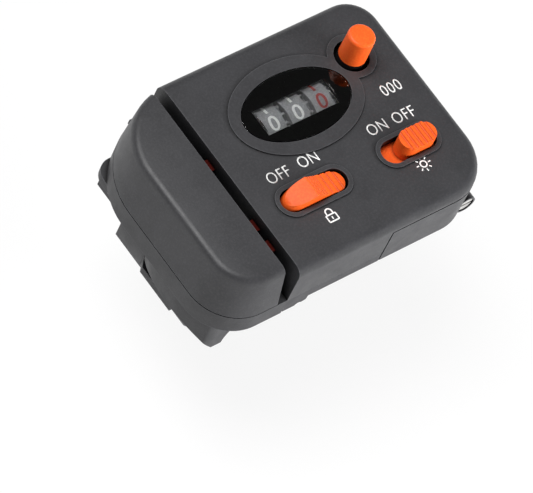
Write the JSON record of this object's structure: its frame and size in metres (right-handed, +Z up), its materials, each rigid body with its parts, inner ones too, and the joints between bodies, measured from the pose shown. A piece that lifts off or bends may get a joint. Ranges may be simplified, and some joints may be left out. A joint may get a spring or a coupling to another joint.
{
  "type": "fishing line counter",
  "caption": "Clip-on fishing line counter: slotted housing with a measuring wheel, digit wheels behind an oval window, reset button, line-lock rocker, light switch and sprung rod clamp.",
  "frame": {"origin": "on the rod's axis, at the middle of the housing's length, under the middle of the line slot", "axes": "+Y along the rod and the line slot, away from the switch end; +Z up from the rod to the window; +X from the line slot to the counter block"},
  "size_m": [0.076, 0.054, 0.0482],
  "materials": {
    "housing": "fine textured charcoal",
    "housing_dark": "fine textured charcoal",
    "orange": "satin orange",
    "inner_plastic": "natural acetal",
    "digit_wheel": "dark grey with printed digits",
    "lens": "clear moulded plastic",
    "lamp_lens": "pale epoxy",
    "mask": "gloss black",
    "board": "green laminate",
    "pad": "soft black",
    "brass": "plain",
    "nickel": "nickel plated",
    "steel": "bright steel"
  },
  "bodies": {
    "housing": {"base_shell": "housing_dark", "counter_cover": "housing", "side_cover": "housing", "housing_screws": "steel", "window_lens": "lens", "window_mask": "mask", "rocker_pin": "steel", "light_switch": "nickel", "lamp_board": "board", "lamp": "lamp_lens", "battery_holder": "housing_dark", "coin_cell": "nickel", "battery_contacts": "brass", "counter_frame": "inner_plastic", "axle_bushes": "brass", "carry_shaft": "steel", "rod_saddle": "housing_dark", "saddle_pad": "pad", "hinge_pin": "steel", "saddle_screws": "steel", "reset_spring": "steel", "clamp_spring": "steel"},
    "measuring": {"measuring_wheel": "inner_plastic", "measuring_axle": "steel", "axle_pinion": "inner_plastic"},
    "lay": {"lay_shaft": "steel", "lay_gear": "inner_plastic", "lay_pinion": "inner_plastic"},
    "units": {"units_wheel": "digit_wheel"},
    "tens": {"tens_wheel": "digit_wheel"},
    "hundreds": {"hundreds_wheel": "digit_wheel"},
    "tens_carry": {"tens_carry_pinion": "inner_plastic"},
    "hundreds_carry": {"hundreds_carry_pinion": "inner_plastic"},
    "reset": {"reset_button": "orange", "reset_stem": "inner_plastic"},
    "zero_shaft": {"counter_shaft": "steel"},
    "rocker": {"line_lock_rocker": "orange"},
    "keeper": {"line_lock_keeper": "orange"},
    "light": {"light_knob": "orange"},
    "door": {"battery_door": "housing", "door_screw": "nickel"},
    "jaw": {"clamp_jaw": "housing_dark", "jaw_pad": "pad"}
  },
  "joints": [
    {"name": "measuring_spin", "type": "hinge", "parent": "housing", "child": "measuring", "pos_m": [0, -0.00584, 0.01536], "axis": [1, 0, 0], "continuous": true},
    {"name": "lay_spin", "type": "hinge", "parent": "housing", "child": "lay", "pos_m": [0, 0.0008, 0.0195], "axis": [1, 0, 0], "continuous": true},
    {"name": "units_spin", "type": "hinge", "parent": "housing", "child": "units", "pos_m": [0, 0.0086, 0.02], "axis": [1, 0, 0], "continuous": true},
    {"name": "tens_spin", "type": "hinge", "parent": "housing", "child": "tens", "pos_m": [0, 0.0086, 0.02], "axis": [1, 0, 0], "continuous": true},
    {"name": "hundreds_spin", "type": "hinge", "parent": "housing", "child": "hundreds", "pos_m": [0, 0.0086, 0.02], "axis": [1, 0, 0], "continuous": true},
    {"name": "tens_carry_spin", "type": "hinge", "parent": "housing", "child": "tens_carry", "pos_m": [0, 0.017, 0.02], "axis": [1, 0, 0], "continuous": true},
    {"name": "hundreds_carry_spin", "type": "hinge", "parent": "housing", "child": "hundreds_carry", "pos_m": [0, 0.017, 0.02], "axis": [1, 0, 0], "continuous": true},
    {"name": "reset_press", "type": "slide", "parent": "housing", "child": "reset", "axis": [0, 0, -1], "range_m": [0, 0.00402], "stiffness_N_per_m": 200, "springref_m": -0.003, "deforming": ["reset_spring"]},
    {"name": "zero_shaft_turn", "type": "hinge", "parent": "housing", "child": "zero_shaft", "pos_m": [0, 0.0086, 0.02], "axis": [-1, 0, 0], "range_deg": [0, 180.5]},
    {"name": "keeper_slide", "type": "slide", "parent": "housing", "child": "keeper", "axis": [1, 0, 0], "range_m": [0, 0.0029]},
    {"name": "line_lock_rock", "type": "hinge", "parent": "housing", "child": "rocker", "pos_m": [0.0164, -0.0113, 0.0252], "axis": [0, -1, 0], "range_deg": [0, 22.1]},
    {"name": "light_slide", "type": "slide", "parent": "housing", "child": "light", "axis": [-1, 0, 0], "range_m": [0, 0.004]},
    {"name": "door_slide", "type": "slide", "parent": "housing", "child": "door", "axis": [0, -1, 0], "range_m": [0, 0.02]},
    {"name": "jaw_swing", "type": "hinge", "parent": "housing", "child": "jaw", "pos_m": [0.0131, 0, 0], "axis": [0, -1, 0], "range_deg": [0, 60], "stiffness_Nm_per_rad": 0.05, "springref_deg": -57.3, "deforming": ["clamp_spring"]}
  ],
  "couplings": [
    {"joint": "lay_spin", "follows": "measuring_spin", "ratio": -0.27778},
    {"joint": "units_spin", "follows": "measuring_spin", "ratio": 0.07716},
    {"joint": "tens_spin", "follows": "measuring_spin", "ratio": 0.007716},
    {"joint": "hundreds_spin", "follows": "measuring_spin", "ratio": 0.0007716},
    {"joint": "tens_carry_spin", "follows": "measuring_spin", "ratio": -0.01929},
    {"joint": "hundreds_carry_spin", "follows": "measuring_spin", "ratio": -0.001929},
    {"joint": "zero_shaft_turn", "follows": "reset_press", "rad_per_m": 781.25},
    {"joint": "line_lock_rock", "follows": "keeper_slide", "rad_per_m": 132.39}
  ]
}
